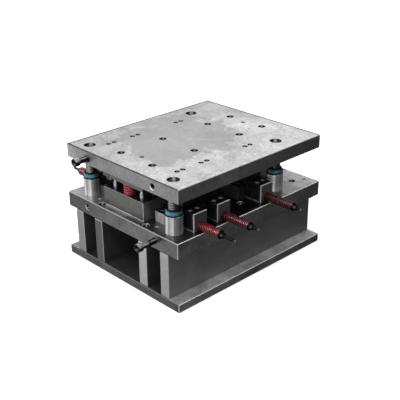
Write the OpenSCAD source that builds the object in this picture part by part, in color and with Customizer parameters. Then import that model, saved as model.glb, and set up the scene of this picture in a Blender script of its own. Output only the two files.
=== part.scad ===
// Side-piercing stamping die: four-post die set on parallels, with six cam slides.
// Origin at the centre of the base plate's underside. X runs along the long side,
// -Y is the front (three return springs in view), Z is up. Millimetres.

/* [Upper shoe] */
// Length of the upper shoe along X
upper_l = 560; // [556:1:580]
// Width of the upper shoe along Y
upper_w = 464; // [456:1:470]
// Thickness of the upper shoe
upper_t = 40; // [38:1:46]

/* [Lower shoe] */
// Length of the lower shoe along X
lower_l = 572; // [570:1:590]
// Width of the lower shoe along Y
lower_w = 467; // [460:1:474]
// Thickness of the lower shoe
lower_t = 45; // [44:1:52]

/* [Base and parallels] */
// Length of the base plate along X
base_l = 581; // [576:1:600]
// Width of the base plate along Y
base_w = 478; // [470:1:490]
// Thickness of the base plate
base_t = 25; // [24:1:32]
// Height of the four parallels
parallel_h = 130; // [110:1:160]
// Thickness of each parallel
parallel_t = 32; // [30:0.5:36]
// Length of each parallel
parallel_l = 576; // [564:1:580]
// Distance of the outer parallels from the centre
outer_y = 182.3; // [181:0.1:184]
// Distance of the inner parallels from the centre
inner_y = 95; // [94:0.5:97]

/* [Guides] */
// Diameter of the guide posts
post_d = 32; // [28:1:34]
// Outer diameter of the guide bushes
bush_d = 50; // [48:1:52]
// Height of the guide bushes above the lower shoe
bush_h = 50.5; // [48:0.5:54]
// Height of the wiper ring on each bush
ring_h = 16.5; // [10:0.5:18]

/* [Tool space] */
// Clear height between the two shoes at rest
die_gap = 107; // [106:1:112]
// Length of the die block along X
block_l = 529; // [525:1:535]
// Width of the die block along Y
block_w = 167; // [164:1:168]
// Offset of the die block towards +Y
block_y = 6.5; // [6:0.5:7]
// Thickness of the stripper plate
strip_t = 20; // [19:1:22]
// Outer diameter of the upright die springs
die_spring_d = 34; // [30:1:35]

/* [Cam units] */
// Width of a cam slide and of the block behind it
slide_w = 46; // [44:1:47]
// Height of the blocks behind the slides
heel_h = 48; // [46:1:50]
// Outer diameter of the return springs
cam_spring_d = 25; // [23:1:26]
// Diameter of the pull rods
rod_d = 8; // [7:0.5:9]

/* [Hidden] */
$fn = 48;
z0 = base_t;
z1 = base_t + parallel_h;
z2 = z1 + lower_t;
z3 = z2 + die_gap;
z4 = z3 + upper_t;
hx_l = lower_l / 2;
hx_u = upper_l / 2;

// Guide post stations
posts = [[-242, -174], [-242, 174], [150, -174], [150, 174]];
pr = post_d / 2;
br = bush_d / 2;

// Screw stations in the upper shoe
holder_at = [[-64.4, -65], [-64.4, 65], [116, -65], [116, 65]];
bolt_at = [[-217.6, -65], [-217.6, 65], [213, -65], [213, 65]];
dowel_up_at = [[-198, 0], [200.5, 0]];
// Screw stations in the lower shoe, over the parallels
shoe_at = [for (s = [-1, 1]) each [[-147, s*176], [7, s*176], [228, s*176], [-271, s*inner_y], [271, s*inner_y]]];
base_at = [for (x = [-220, 0, 220], y = [-outer_y, -inner_y, inner_y, outer_y]) [x, y]];
block_at = [[-235, -30], [-235, 30], [-20, -50], [-20, 50], [235, -30], [235, 30]];
dowel_low_at = [[-257.5, -123], [-257.5, 123], [264, -192], [264, 192]];
pin_at = [[-248, -56], [-248, 56], [248, -56], [248, 56]];
punch_at = [for (x = [-145, 0, 155], y = [-25, 25]) [x, y]];
spring_x = 244.5;
stop_at = [[-248, 77], [248, 77], [-190, -62], [190, -62]];

// Cam units: stations along X, spring lengths front and rear
ux = [-190, -103, 67];
len_f = [72, 92, 96];
len_r = [80, 84, 90];
tail_f = [342, 342, 342];
tail_r = [336, 340, 342];
z_strip = z2 + 35;
z_pad = z_strip + strip_t;
z_rod = z2 + 15;
z_side = z2 + 18;
u_gib0 = 91;
u_gib1 = 157;
u_gib2 = 163;
u_in = 115;
u_out = 172;
u_heel = 175;
u_plate = 214;
u_face = 218;
wear_t = 5;
sw = slide_w / 2;
rr = rod_d / 2;
z_top = z2 + 52;
z_knee = z2 + 25;
u_knee = 146;
slope = (u_out - u_knee) / (z_top - z_knee);
travel = 20;

// ---- shapes shared by the pieces ----

// Outline of a rectangle with cut corners
function cut_rect(a0, b0, a1, b1, c) = [[a0+c, b0], [a1-c, b0], [a1, b0+c], [a1, b1-c], [a1-c, b1], [a0+c, b1], [a0, b1-c], [a0, b0+c]];

// Box between two corners with a chamfer on all twelve edges
module cbox(p, q, c) intersection() {
    translate([0, 0, p[2]]) linear_extrude(q[2]-p[2]) polygon(cut_rect(p[0], p[1], q[0], q[1], c));
    translate([p[0], 0, 0]) rotate([90, 0, 90]) linear_extrude(q[0]-p[0]) polygon(cut_rect(p[1], p[2], q[1], q[2], c));
    translate([0, q[1], 0]) rotate([90, 0, 0]) linear_extrude(q[1]-p[1]) polygon(cut_rect(p[0], p[2], q[0], q[2], c));
}

// Plain upright hole
module vhole(p, za, zb, r) translate([p[0], p[1], za]) cylinder(r = r, h = zb-za);

// Chamfer at an upright hole's mouth: d = 1 opens upwards, d = -1 downwards
module mouth(p, z, r, d = 1, c = 0.7) translate([p[0], p[1], z]) {
    if (d > 0) translate([0, 0, -c]) cylinder(r1 = r, r2 = r + c + 0.5, h = c + 0.5);
    else translate([0, 0, -0.5]) cylinder(r1 = r + c + 0.5, r2 = r, h = c + 0.5);
}

// Counterbored hole from above: seat at zs, mouth at zt, down to zb
module cbore(p, zb, zs, zt, r, rh) {
    vhole(p, zb, zs+1, r);
    vhole(p, zs, zt+1, rh);
    mouth(p, zt, rh);
}

// Socket head screw along +Z: head seat at z = 0, shank of length l below it
module cap_screw(d, l, dh, h, af) difference() {
    rotate_extrude() polygon([[0, -l], [d/2-0.8, -l], [d/2, -l+0.8], [d/2, 0], [dh/2, 0], [dh/2, h-0.7], [dh/2-0.7, h], [0, h]]);
    translate([0, 0, h*0.45]) cylinder(d = af*1.1547, h = h, $fn = 6);
}
module m8(l) cap_screw(8, l, 13, 8, 6);
module m12(l) cap_screw(12, l, 18, 12, 10);
module m16(l) cap_screw(16, l, 24, 16, 14);

// Hexagon nut standing on z = 0
module hex_nut(af, t, r) difference() {
    intersection() {
        cylinder(d = af*1.1547, h = t, $fn = 6);
        rotate_extrude() polygon([[0, 0], [af/2, 0], [af*0.58, 1.2], [af*0.58, t-1.2], [af/2, t], [0, t]]);
    }
    translate([0, 0, -1]) cylinder(r = r, h = t+2);
}

// Rectangular-wire compression spring on z = 0 .. l with closed, ground ends.
// w is the wire's radial width, h its axial height, n the number of turns.
function coil_low(t, n, l, h) = t < 0.6 ? 0 : t < 1 ? 0.3*h*(t-0.6)/0.4 : t <= n-1 ? 0.3*h + (t-1)*(l-1.6*h)/(n-2) : l - coil_high2(n-t, h);
function coil_high2(s, h) = (s < 0.6 ? 0 : 0.3*h*(s-0.6)/0.4) + h*min(1, 0.25+s);
function coil_tall(t, n, h) = h*min(1, 0.25+t, 0.25+n-t);
module coil(l, d, w, h, n, k = 12) {
    m = n*k;
    pts = [for (j = [0:m]) let (t = j/k, a = 360*t, zb = coil_low(t, n, l, h), zt = zb + coil_tall(t, n, h), ro = d/2, ri = d/2-w)
        each [[ri*cos(a), ri*sin(a), zb], [ro*cos(a), ro*sin(a), zb], [ro*cos(a), ro*sin(a), zt], [ri*cos(a), ri*sin(a), zt]]];
    sides = [for (j = [0:m-1], i = [0:3]) let (a = 4*j+i, b = 4*j+(i+1)%4) each [[a, b, b+4], [a, b+4, a+4]]];
    polyhedron(points = pts, faces = concat([[0, 3, 2, 1]], sides, [[4*m, 4*m+1, 4*m+2, 4*m+3]]));
}

// Place children at a front (s = -1) or rear (s = 1) cam unit: local Y points outwards
module side(s) { if (s > 0) children(); else mirror([0, 1, 0]) children(); }
module unit(i, s) side(s) translate([ux[i], 0, 0]) children();
// Lay a +Z shape along the outward direction from u
module outward(u, z) translate([0, u, z]) rotate([-90, 0, 0]) children();
function block_u(s) = block_w/2 + s*block_y;

// ---- lower die ----

module base_plate() color([0.47, 0.47, 0.45]) difference() {
    cbox([-base_l/2, -base_w/2, 0], [base_l/2, base_w/2, base_t], 1.5);
    for (p = base_at) {
        vhole(p, -1, 14, 10);
        vhole(p, 13, base_t+1, 6.5);
    }
}

module parallel(y) color([0.66, 0.66, 0.63]) difference() {
    cbox([-parallel_l/2, y-parallel_t/2, z0], [parallel_l/2, y+parallel_t/2, z1], 1);
    for (p = base_at) if (p[1] == y) vhole(p, z0-1, z0+36, 6.05);
    for (p = shoe_at) if (abs(p[1]-y) < parallel_t/2) vhole(p, z1-24, z1+1, 6.05);
    for (p = dowel_low_at) if (abs(p[1]-y) < parallel_t/2) vhole(p, z1-20, z1+1, 5.02);
}
module parallel_front_outer() parallel(-outer_y);
module parallel_front_inner() parallel(-inner_y);
module parallel_rear_inner() parallel(inner_y);
module parallel_rear_outer() parallel(outer_y);

module lower_shoe() color([0.55, 0.55, 0.53]) difference() {
    cbox([-hx_l, -lower_w/2, z1], [hx_l, lower_w/2, z2], 1.5);
    for (p = posts) vhole(p, z1-1, z2+1, br-2.95);
    for (p = shoe_at) cbore(p, z1-1, z2-26, z2, 6.5, 10);
    for (p = block_at) {
        vhole(p, z1-1, z1+25, 10);
        vhole(p, z1+24, z2+1, 6.5);
    }
    for (p = dowel_low_at) {
        vhole(p, z1-1, z2+1, 5.02);
        mouth(p, z2, 5.02);
    }
    for (p = dowel_up_at) vhole(p, z2-25, z2+1, 6.02);
    for (p = punch_at) vhole(p, z1-1, z2+1, 8);
    for (i = [0:2], s = [-1, 1]) {
        unit(i, s) vhole([0, block_u(s)-30], z1-1, z2+1, 9);
        for (w = [-12, 12]) unit(i, s) vhole([w, 192], z2-26, z2+1, 4.05);
    }
    for (s = [-1, 1]) side(s) for (p = gib_at) vhole([p[0], p[1]], z2-20, z2+1, 4.05);
    // tapped holes in the end faces for lifting screws
    for (e = [-1, 1], y = [-145, 145]) translate([e*hx_l, y, z1+23]) rotate([0, -90*e, 0]) {
        translate([0, 0, -1]) cylinder(r = 8.05, h = 31);
        translate([0, 0, -0.5]) cylinder(r1 = 10.1, r2 = 8.05, h = 2.05);
    }
}

module guide_bushes() color([0.78, 0.78, 0.76]) for (p = posts) translate([p[0], p[1], 0]) rotate_extrude($fn = 96)
    polygon([[pr+0.04, z1+3], [br-4, z1+3], [br-3, z1+4], [br-3, z2], [br, z2], [br, z2+bush_h-0.6], [br-0.6, z2+bush_h], [pr+0.04, z2+bush_h]]);

module wiper_rings() color([0.27, 0.46, 0.52]) for (p = posts) translate([p[0], p[1], z2+bush_h]) rotate_extrude($fn = 96)
    polygon([[pr+0.1, 0], [br-2.4, 0], [br-2, 0.8], [br-2, ring_h-4], [br-3.6, ring_h], [pr+2, ring_h], [pr+0.1, ring_h-2]]);

module die_block() color([0.56, 0.58, 0.55]) difference() {
    cbox([-block_l/2, block_y-block_w/2, z2], [block_l/2, block_y+block_w/2, z_strip], 1);
    for (p = block_at) vhole(p, z2-1, z2+26, 6.05);
    for (p = pin_at) vhole(p, z2-1, z_strip+1, 5.4);
    for (p = dowel_up_at) vhole(p, z2-1, z2+26, 6.02);
    for (p = punch_at) {
        vhole(p, z2-1, z_strip+1, 5.3);
        vhole(p, z2-1, z2+22, 6.5);
    }
    for (i = [0:2], s = [-1, 1]) unit(i, s) {
        outward(block_u(s)-15, z_side) cylinder(r = 11.05, h = 16);
        outward(block_u(s)-30, z_side) cylinder(r = 6.5, h = 16);
        vhole([0, block_u(s)-30], z2-1, z_side+7, 8);
    }
}

module die_buttons() color([0.7, 0.69, 0.64]) for (i = [0:2], s = [-1, 1]) unit(i, s) outward(block_u(s)-15, z_side) difference() {
    cylinder(r = 11, h = 15);
    translate([0, 0, -1]) cylinder(r = 5.3, h = 17);
}

// Fixed block behind each slide: backs up the driver and carries the rod
module heel_block(i, s) unit(i, s) difference() {
    cbox([-sw, u_heel, z2+wear_t], [sw, u_plate, z2+wear_t+heel_h], 0.8);
    outward(u_heel-1, z_rod) cylinder(r = rr+0.6, h = u_plate-u_heel+2);
    for (w = [-12, 12]) cbore([w, 192], z2, z2+wear_t+heel_h-9, z2+wear_t+heel_h, 4.5, 7);
}
module heel_blocks_front() color([0.2, 0.2, 0.2]) for (i = [0:2]) heel_block(i, -1);
module heel_blocks_rear() color([0.2, 0.2, 0.2]) for (i = [0:2]) heel_block(i, 1);

module spring_plates() color([0.5, 0.5, 0.48]) for (i = [0:2], s = [-1, 1]) unit(i, s) difference() {
    cbox([-sw-0.5, u_plate, z2], [sw+0.5, u_face, z2+wear_t+heel_h], 0.8);
    outward(u_plate-1, z_rod) cylinder(r = rr+0.6, h = 10);
}

module wear_plates() color([0.6, 0.58, 0.5]) for (i = [0:2], s = [-1, 1]) unit(i, s) difference() {
    translate([0, 0, z2]) linear_extrude(wear_t)
        polygon([[-sw-7, u_gib0], [sw+7, u_gib0], [sw+7, u_gib1], [sw, u_gib1], [sw, u_plate], [-sw, u_plate], [-sw, u_gib1], [-sw-7, u_gib1]]);
    for (w = [-12, 12]) vhole([w, 192], z2-1, z2+wear_t+1, 4.5);
}

// Guide strips beside the slides, undercut over the slides' flanges
gib_lo = sw + 0.15;
gib_foot = sw + 7.2;
gib_out = 54;
short_out = 45;
gib_x = [ux[0]-37.3, (ux[0]+ux[1])/2, ux[1]+42, ux[2]-42, ux[2]+42];
// Screw stations with the height of the screw seat over the shoe
gib_at = [for (k = [0:4], u = [105, k == 0 ? 135 : 143]) [gib_x[k], u, k == 0 ? 21 : 32]];
module gib_end(x, d, u = u_gib2, o = gib_out, t = z2+41) translate([x, 0, 0]) mirror([d < 0 ? 1 : 0, 0, 0]) translate([0, u, 0]) rotate([90, 0, 0]) linear_extrude(u-u_gib0)
    polygon([[gib_foot, z2], [o, z2], [o, t-0.8], [o-0.8, t], [gib_lo+0.8, t], [gib_lo, t-0.8], [gib_lo, z2+13.2], [gib_foot, z2+13.2]]);
module gib_mid(a, b) translate([0, u_gib2, 0]) rotate([90, 0, 0]) linear_extrude(u_gib2-u_gib0)
    polygon([[a+gib_foot, z2], [b-gib_foot, z2], [b-gib_foot, z2+13.2], [b-gib_lo, z2+13.2], [b-gib_lo, z2+40.2], [b-gib_lo-0.8, z2+41],
        [a+gib_lo+0.8, z2+41], [a+gib_lo, z2+40.2], [a+gib_lo, z2+13.2], [a+gib_foot, z2+13.2]]);
module slide_gibs() color([0.62, 0.62, 0.59]) for (s = [-1, 1]) side(s) difference() {
    union() {
        gib_end(ux[0], -1, 147, short_out, z2+30);
        gib_mid(ux[0], ux[1]);
        gib_end(ux[1], 1);
        gib_end(ux[2], -1);
        gib_end(ux[2], 1);
    }
    for (p = gib_at) cbore([p[0], p[1]], z2-1, z2+p[2], z2+p[2]+9, 4.5, 7);
}

module heel_screws() color([0.42, 0.42, 0.42]) for (i = [0:2], s = [-1, 1], w = [-12, 12]) unit(i, s) translate([w, 192, z2+wear_t+heel_h-9]) m8(66);
module gib_screws() color([0.16, 0.16, 0.17]) for (s = [-1, 1]) side(s) for (p = gib_at) translate([p[0], p[1], z2+p[2]]) m8(p[2]+17);

module parallel_screws() color([0.16, 0.16, 0.17]) {
    for (p = base_at) translate([p[0], p[1], 13]) mirror([0, 0, 1]) m12(45);
    for (p = shoe_at) translate([p[0], p[1], z2-26]) m12(39);
}
module die_block_screws() color([0.16, 0.16, 0.17]) for (p = block_at) translate([p[0], p[1], z1+25]) mirror([0, 0, 1]) m12(42);

module pin(r, za, zb, c = 0.8) rotate_extrude() polygon([[0, za], [r-c, za], [r, za+c], [r, zb-c], [r-c, zb], [0, zb]]);
module lower_dowels() color([0.72, 0.72, 0.7]) {
    for (p = dowel_low_at) translate([p[0], p[1], 0]) pin(5, abs(p[1]) > 150 ? z1-19 : z1+4, abs(p[1]) > 150 ? z2-9 : z2-2.5);
    for (p = dowel_up_at) translate([p[0], p[1], 0]) pin(6, z2-24, z2+25);
}
module lower_lifting_screw() color([0.12, 0.12, 0.13]) translate([-hx_l-45, -145, z1+23]) rotate([0, -90, 0]) m16(73);

// ---- upper die ----

module upper_shoe() color([0.74, 0.74, 0.72]) difference() {
    cbox([-hx_u, -upper_w/2, z3], [hx_u, upper_w/2, z4], 1.5);
    for (p = posts) {
        vhole(p, z3-1, z4+1, pr+0.01);
        vhole(p, z4-7, z4+1, pr+0.9);
        mouth(p, z4, pr+0.9);
    }
    for (i = [0:2], s = [-1, 1], w = [-10.2, 10.2]) unit(i, s) cbore([w, 142.5], z3-1, z4-20, z4, 4.5, 7);
    for (p = holder_at) cbore(p, z3-1, z4-22, z4, 6.5, 10.5);
    for (p = bolt_at) cbore(p, z3-1, z4-32, z4, 6.4, 10.5);
    for (p = dowel_up_at) {
        vhole(p, z3-1, z4+1, 6.02);
        mouth(p, z4, 6.02);
    }
    for (x = [-spring_x, spring_x]) vhole([x, 0], z3-1, z3+12, die_spring_d/2+1.5);
    for (p = pin_at) vhole(p, z3-1, z3+24, 5.02);
    for (e = [-1, 1], y = [-136, 136]) translate([e*hx_u, y, z3+upper_t/2]) rotate([0, -90*e, 0]) {
        translate([0, 0, -1]) cylinder(r = 8.05, h = 36);
        translate([0, 0, -0.5]) cylinder(r1 = 10.1, r2 = 8.05, h = 2.05);
    }
}

// Guide posts with oil grooves along the working length
module guide_posts() color([0.8, 0.8, 0.79]) for (p = posts) translate([p[0], p[1], 0]) rotate_extrude($fn = 96)
    polygon(concat([[0, z1+23], [pr-2, z1+23], [pr, z1+27]],
        [for (k = [0:17]) let (z = z2+12+5*k) each [[pr, z], [pr-0.7, z+0.6], [pr-0.7, z+1.6], [pr, z+2.2]]],
        [[pr, z4-8], [pr-1, z4-7], [0, z4-7]]));

// As long and wide as the die block, with pads that stop the stroke just above the stripper
module punch_holder() color([0.45, 0.45, 0.44]) difference() {
    union() {
        cbox([-block_l/2, block_y-block_w/2, z3-20], [block_l/2, block_y+block_w/2, z3], 0.8);
        for (p = stop_at) translate([p[0], p[1], z3-31.8]) rotate_extrude() polygon([[0, 0], [11, 0], [12, 1], [12, 15], [0, 15]]);
    }
    for (p = holder_at) vhole(p, z3-17, z3+1, 6.05);
    for (p = dowel_up_at) vhole(p, z3-21, z3+1, 6.02);
    for (p = pin_at) {
        vhole(p, z3-21, z3+1, 5.02);
        vhole(p, z3-21, z3-13, 7.1);
    }
    for (p = bolt_at) vhole(p, z3-21, z3+1, 6.4);
    for (x = [-spring_x, spring_x]) vhole([x, 0], z3-21, z3+1, die_spring_d/2+1.5);
    for (p = punch_at) {
        vhole(p, z3-21, z3+1, 5.02);
        vhole(p, z3-5, z3+1, 7.1);
    }
}

// Wedge that pushes a slide inwards; its lower end is forked around the pull rod
module cam_driver(i, s) unit(i, s) difference() {
    translate([-20, 0, 0]) rotate([90, 0, 90]) linear_extrude(40)
        polygon([[124, z3], [u_heel-0.2, z3], [u_heel-0.2, z2+28], [u_knee+0.2+slope*(z_top-z2-28), z2+28], [124, z_top+(u_knee+0.2-124)/slope]]);
    translate([-7, 120, z2+20]) cube([14, 60, 23]);
    for (w = [-10.2, 10.2]) vhole([w, 142.5], z3-26, z3+1, 4.05);
}
module cam_drivers_front() color([0.17, 0.17, 0.17]) for (i = [0:2]) cam_driver(i, -1);
module cam_drivers_rear() color([0.17, 0.17, 0.17]) for (i = [0:2]) cam_driver(i, 1);

module driver_screws() color([0.2, 0.2, 0.2]) for (i = [0:2], s = [-1, 1], w = [-10.2, 10.2]) unit(i, s) translate([w, 142.5, z4-20]) m8(44);
module holder_screws() color([0.2, 0.2, 0.2]) for (p = holder_at) translate([p[0], p[1], z4-22]) m12(34);
module upper_dowels() color([0.72, 0.72, 0.7]) for (p = dowel_up_at) translate([p[0], p[1], 0]) pin(6, z3-19, z4-13);
module upper_lifting_screw() color([0.12, 0.12, 0.13]) translate([-hx_u-31, 136, z3+upper_t/2]) rotate([0, -90, 0]) m16(64);
module sub_guide_pins() color([0.8, 0.8, 0.79]) for (p = pin_at) translate([p[0], p[1], 0]) pin(5, z2+22, z3+23);
module punches() color([0.7, 0.7, 0.68]) for (p = punch_at) translate([p[0], p[1], 0]) rotate_extrude()
    polygon([[0, z_pad-5], [5, z_pad-5], [5, z3-5], [7, z3-5], [7, z3-0.1], [0, z3-0.1]]);

// ---- stripper ----

module stripper_plate() color([0.56, 0.58, 0.55]) difference() {
    cbox([-block_l/2, block_y-block_w/2, z_strip], [block_l/2, block_y+block_w/2, z_pad], 1);
    for (p = pin_at) vhole(p, z_strip-1, z_pad+1, 6.25);
    for (p = punch_at) vhole(p, z_strip-1, z_pad+1, 5.05);
    for (p = bolt_at) vhole(p, z_pad-15, z_pad+1, 5.05);
}
module stripper_bushes() color([0.76, 0.76, 0.74]) for (p = pin_at) translate([p[0], p[1], z_pad]) rotate_extrude()
    polygon([[5.04, -strip_t+1], [6.2, -strip_t+1], [6.2, 0], [6.8, 0], [6.8, 6], [6, 6.4], [6, 7.6], [6.8, 8], [6.8, 16.4], [6.2, 17], [5.04, 17]]);
module die_springs() color([0.78, 0.12, 0.14]) for (x = [-spring_x, spring_x]) translate([x, 0, z_pad+0.02])
    coil(z3+12-z_pad-0.04, die_spring_d, 7, 4.6, 10);
module stripper_bolts() color([0.2, 0.2, 0.2]) for (p = bolt_at) translate([p[0], p[1], z4-31.9]) difference() {
    rotate_extrude() polygon([[0, -(z4-31.9-z_pad)-14], [4.2, -(z4-31.9-z_pad)-14], [5, -(z4-31.9-z_pad)-13.2], [5, -(z4-31.9-z_pad)],
        [6, -(z4-31.9-z_pad)], [6, 0], [9, 0], [9, 9.3], [8.3, 10], [0, 10]]);
    translate([0, 0, 4.5]) cylinder(d = 8*1.1547, h = 8, $fn = 6);
}

// ---- cam units ----

// Slide with a flange under the gibs, an inclined face for the driver, and its piercing punch
module cam_slide(i, s) unit(i, s) {
    difference() {
        union() {
            translate([-sw, 0, 0]) rotate([90, 0, 90]) linear_extrude(slide_w)
                polygon([[u_in, z2+wear_t+0.02], [u_out, z2+wear_t+0.02], [u_out, z_knee], [u_knee, z_top], [u_in, z_top]]);
            translate([-sw-7, u_in, z2+wear_t+0.02]) cube([slide_w+14, u_gib1-u_in-5, 7.98]);
        }
        outward(u_out-22, z_rod) cylinder(r = rr+0.02, h = 30);
        outward(u_in-1, z_side) cylinder(r = 5.02, h = 26);
    }
    outward(block_u(s)+10, z_side) cylinder(r = 5, h = 139.8-block_u(s)-10);
}
module pull_rod(i, s, t) unit(i, s) outward(u_out-21.8, z_rod) pin(rr, 0, t-u_out+21.8);
module rod_nuts(i, s, l) unit(i, s) {
    outward(u_face+l, z_rod) difference() {
        rotate_extrude() polygon([[0, 0], [12, 0], [12, 2.4], [11.4, 3], [0, 3]]);
        translate([0, 0, -1]) cylinder(r = rr+0.1, h = 5);
    }
    outward(u_face+l+3.05, z_rod) hex_nut(13, 6.4, rr+0.05);
    outward(u_face+l+9.5, z_rod) hex_nut(13, 4, rr+0.05);
}
module cam_spring(i, s, l) unit(i, s) outward(u_face+0.02, z_rod) coil(l-0.04, cam_spring_d, 5.2, 3.7, round(l/6.15)+1);

module cam_slide_f1() color([0.16, 0.16, 0.16]) cam_slide(0, -1);
module cam_slide_f2() color([0.16, 0.16, 0.16]) cam_slide(1, -1);
module cam_slide_f3() color([0.16, 0.16, 0.16]) cam_slide(2, -1);
module cam_slide_r1() color([0.16, 0.16, 0.16]) cam_slide(0, 1);
module cam_slide_r2() color([0.16, 0.16, 0.16]) cam_slide(1, 1);
module cam_slide_r3() color([0.16, 0.16, 0.16]) cam_slide(2, 1);
module pull_rod_f1() color([0.12, 0.12, 0.12]) pull_rod(0, -1, tail_f[0]);
module pull_rod_f2() color([0.12, 0.12, 0.12]) pull_rod(1, -1, tail_f[1]);
module pull_rod_f3() color([0.12, 0.12, 0.12]) pull_rod(2, -1, tail_f[2]);
module pull_rod_r1() color([0.12, 0.12, 0.12]) pull_rod(0, 1, tail_r[0]);
module pull_rod_r2() color([0.12, 0.12, 0.12]) pull_rod(1, 1, tail_r[1]);
module pull_rod_r3() color([0.12, 0.12, 0.12]) pull_rod(2, 1, tail_r[2]);
module rod_nuts_f1() color([0.1, 0.1, 0.1]) rod_nuts(0, -1, len_f[0]);
module rod_nuts_f2() color([0.1, 0.1, 0.1]) rod_nuts(1, -1, len_f[1]);
module rod_nuts_f3() color([0.1, 0.1, 0.1]) rod_nuts(2, -1, len_f[2]);
module rod_nuts_r1() color([0.1, 0.1, 0.1]) rod_nuts(0, 1, len_r[0]);
module rod_nuts_r2() color([0.1, 0.1, 0.1]) rod_nuts(1, 1, len_r[1]);
module rod_nuts_r3() color([0.1, 0.1, 0.1]) rod_nuts(2, 1, len_r[2]);
module cam_spring_f1() color([0.6, 0.1, 0.13]) cam_spring(0, -1, len_f[0]);
module cam_spring_f2() color([0.6, 0.1, 0.13]) cam_spring(1, -1, len_f[1]);
module cam_spring_f3() color([0.6, 0.1, 0.13]) cam_spring(2, -1, len_f[2]);
module cam_spring_r1() color([0.6, 0.1, 0.13]) cam_spring(0, 1, len_r[0]);
module cam_spring_r2() color([0.6, 0.1, 0.13]) cam_spring(1, 1, len_r[1]);
module cam_spring_r3() color([0.6, 0.1, 0.13]) cam_spring(2, 1, len_r[2]);

base_plate();
parallel_front_outer();
parallel_front_inner();
parallel_rear_inner();
parallel_rear_outer();
lower_shoe();
guide_bushes();
wiper_rings();
die_block();
die_buttons();
heel_blocks_front();
heel_blocks_rear();
spring_plates();
wear_plates();
slide_gibs();
heel_screws();
gib_screws();
parallel_screws();
die_block_screws();
lower_dowels();
lower_lifting_screw();
upper_shoe();
guide_posts();
punch_holder();
cam_drivers_front();
cam_drivers_rear();
driver_screws();
holder_screws();
upper_dowels();
upper_lifting_screw();
sub_guide_pins();
punches();
stripper_plate();
stripper_bushes();
die_springs();
stripper_bolts();
cam_slide_f1();
pull_rod_f1();
rod_nuts_f1();
cam_spring_f1();
cam_slide_f2();
pull_rod_f2();
rod_nuts_f2();
cam_spring_f2();
cam_slide_f3();
pull_rod_f3();
rod_nuts_f3();
cam_spring_f3();
cam_slide_r1();
pull_rod_r1();
rod_nuts_r1();
cam_spring_r1();
cam_slide_r2();
pull_rod_r2();
rod_nuts_r2();
cam_spring_r2();
cam_slide_r3();
pull_rod_r3();
rod_nuts_r3();
cam_spring_r3();
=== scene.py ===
import math

import bpy
import numpy as np
from mathutils import Matrix, Vector


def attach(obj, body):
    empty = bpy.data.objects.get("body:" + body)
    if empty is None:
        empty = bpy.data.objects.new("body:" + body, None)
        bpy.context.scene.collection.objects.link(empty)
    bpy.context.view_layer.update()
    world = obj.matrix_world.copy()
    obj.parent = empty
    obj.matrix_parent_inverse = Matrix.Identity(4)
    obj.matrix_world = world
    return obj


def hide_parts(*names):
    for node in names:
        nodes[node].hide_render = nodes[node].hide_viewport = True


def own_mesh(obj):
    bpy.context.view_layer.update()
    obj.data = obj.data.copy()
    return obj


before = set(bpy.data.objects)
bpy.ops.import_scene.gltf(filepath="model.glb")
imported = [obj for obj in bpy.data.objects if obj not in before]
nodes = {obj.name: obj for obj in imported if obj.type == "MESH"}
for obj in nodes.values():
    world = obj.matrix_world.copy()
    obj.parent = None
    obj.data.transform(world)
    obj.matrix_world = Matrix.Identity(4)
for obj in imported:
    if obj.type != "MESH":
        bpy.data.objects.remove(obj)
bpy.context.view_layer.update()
MM = 0.001

# ---------------------------------------------------------------- camera
az, el, roll = math.radians(-43.883), math.radians(24.841), math.radians(-0.454)
back = Vector((math.sin(az) * math.cos(el), -math.cos(az) * math.cos(el), math.sin(el)))
flat = Vector((math.cos(az), math.sin(az), 0.0))
over = back.cross(flat)
right = flat * math.cos(roll) + over * math.sin(roll)
up = over * math.cos(roll) - flat * math.sin(roll)
cam = bpy.data.cameras.new("camera")
cam.sensor_width = 36.0
cam.lens = 70.127
cam.clip_start, cam.clip_end = 0.05, 60.0
cam_ob = bpy.data.objects.new("camera", cam)
bpy.context.scene.collection.objects.link(cam_ob)
place = Vector((-1442.3, -1518.7, 1123.4)) * MM
cam_ob.matrix_world = Matrix(((right.x, up.x, back.x, place.x), (right.y, up.y, back.y, place.y), (right.z, up.z, back.z, place.z), (0, 0, 0, 1)))
bpy.context.scene.camera = cam_ob
bpy.context.scene.view_settings.view_transform = "Standard"


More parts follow.
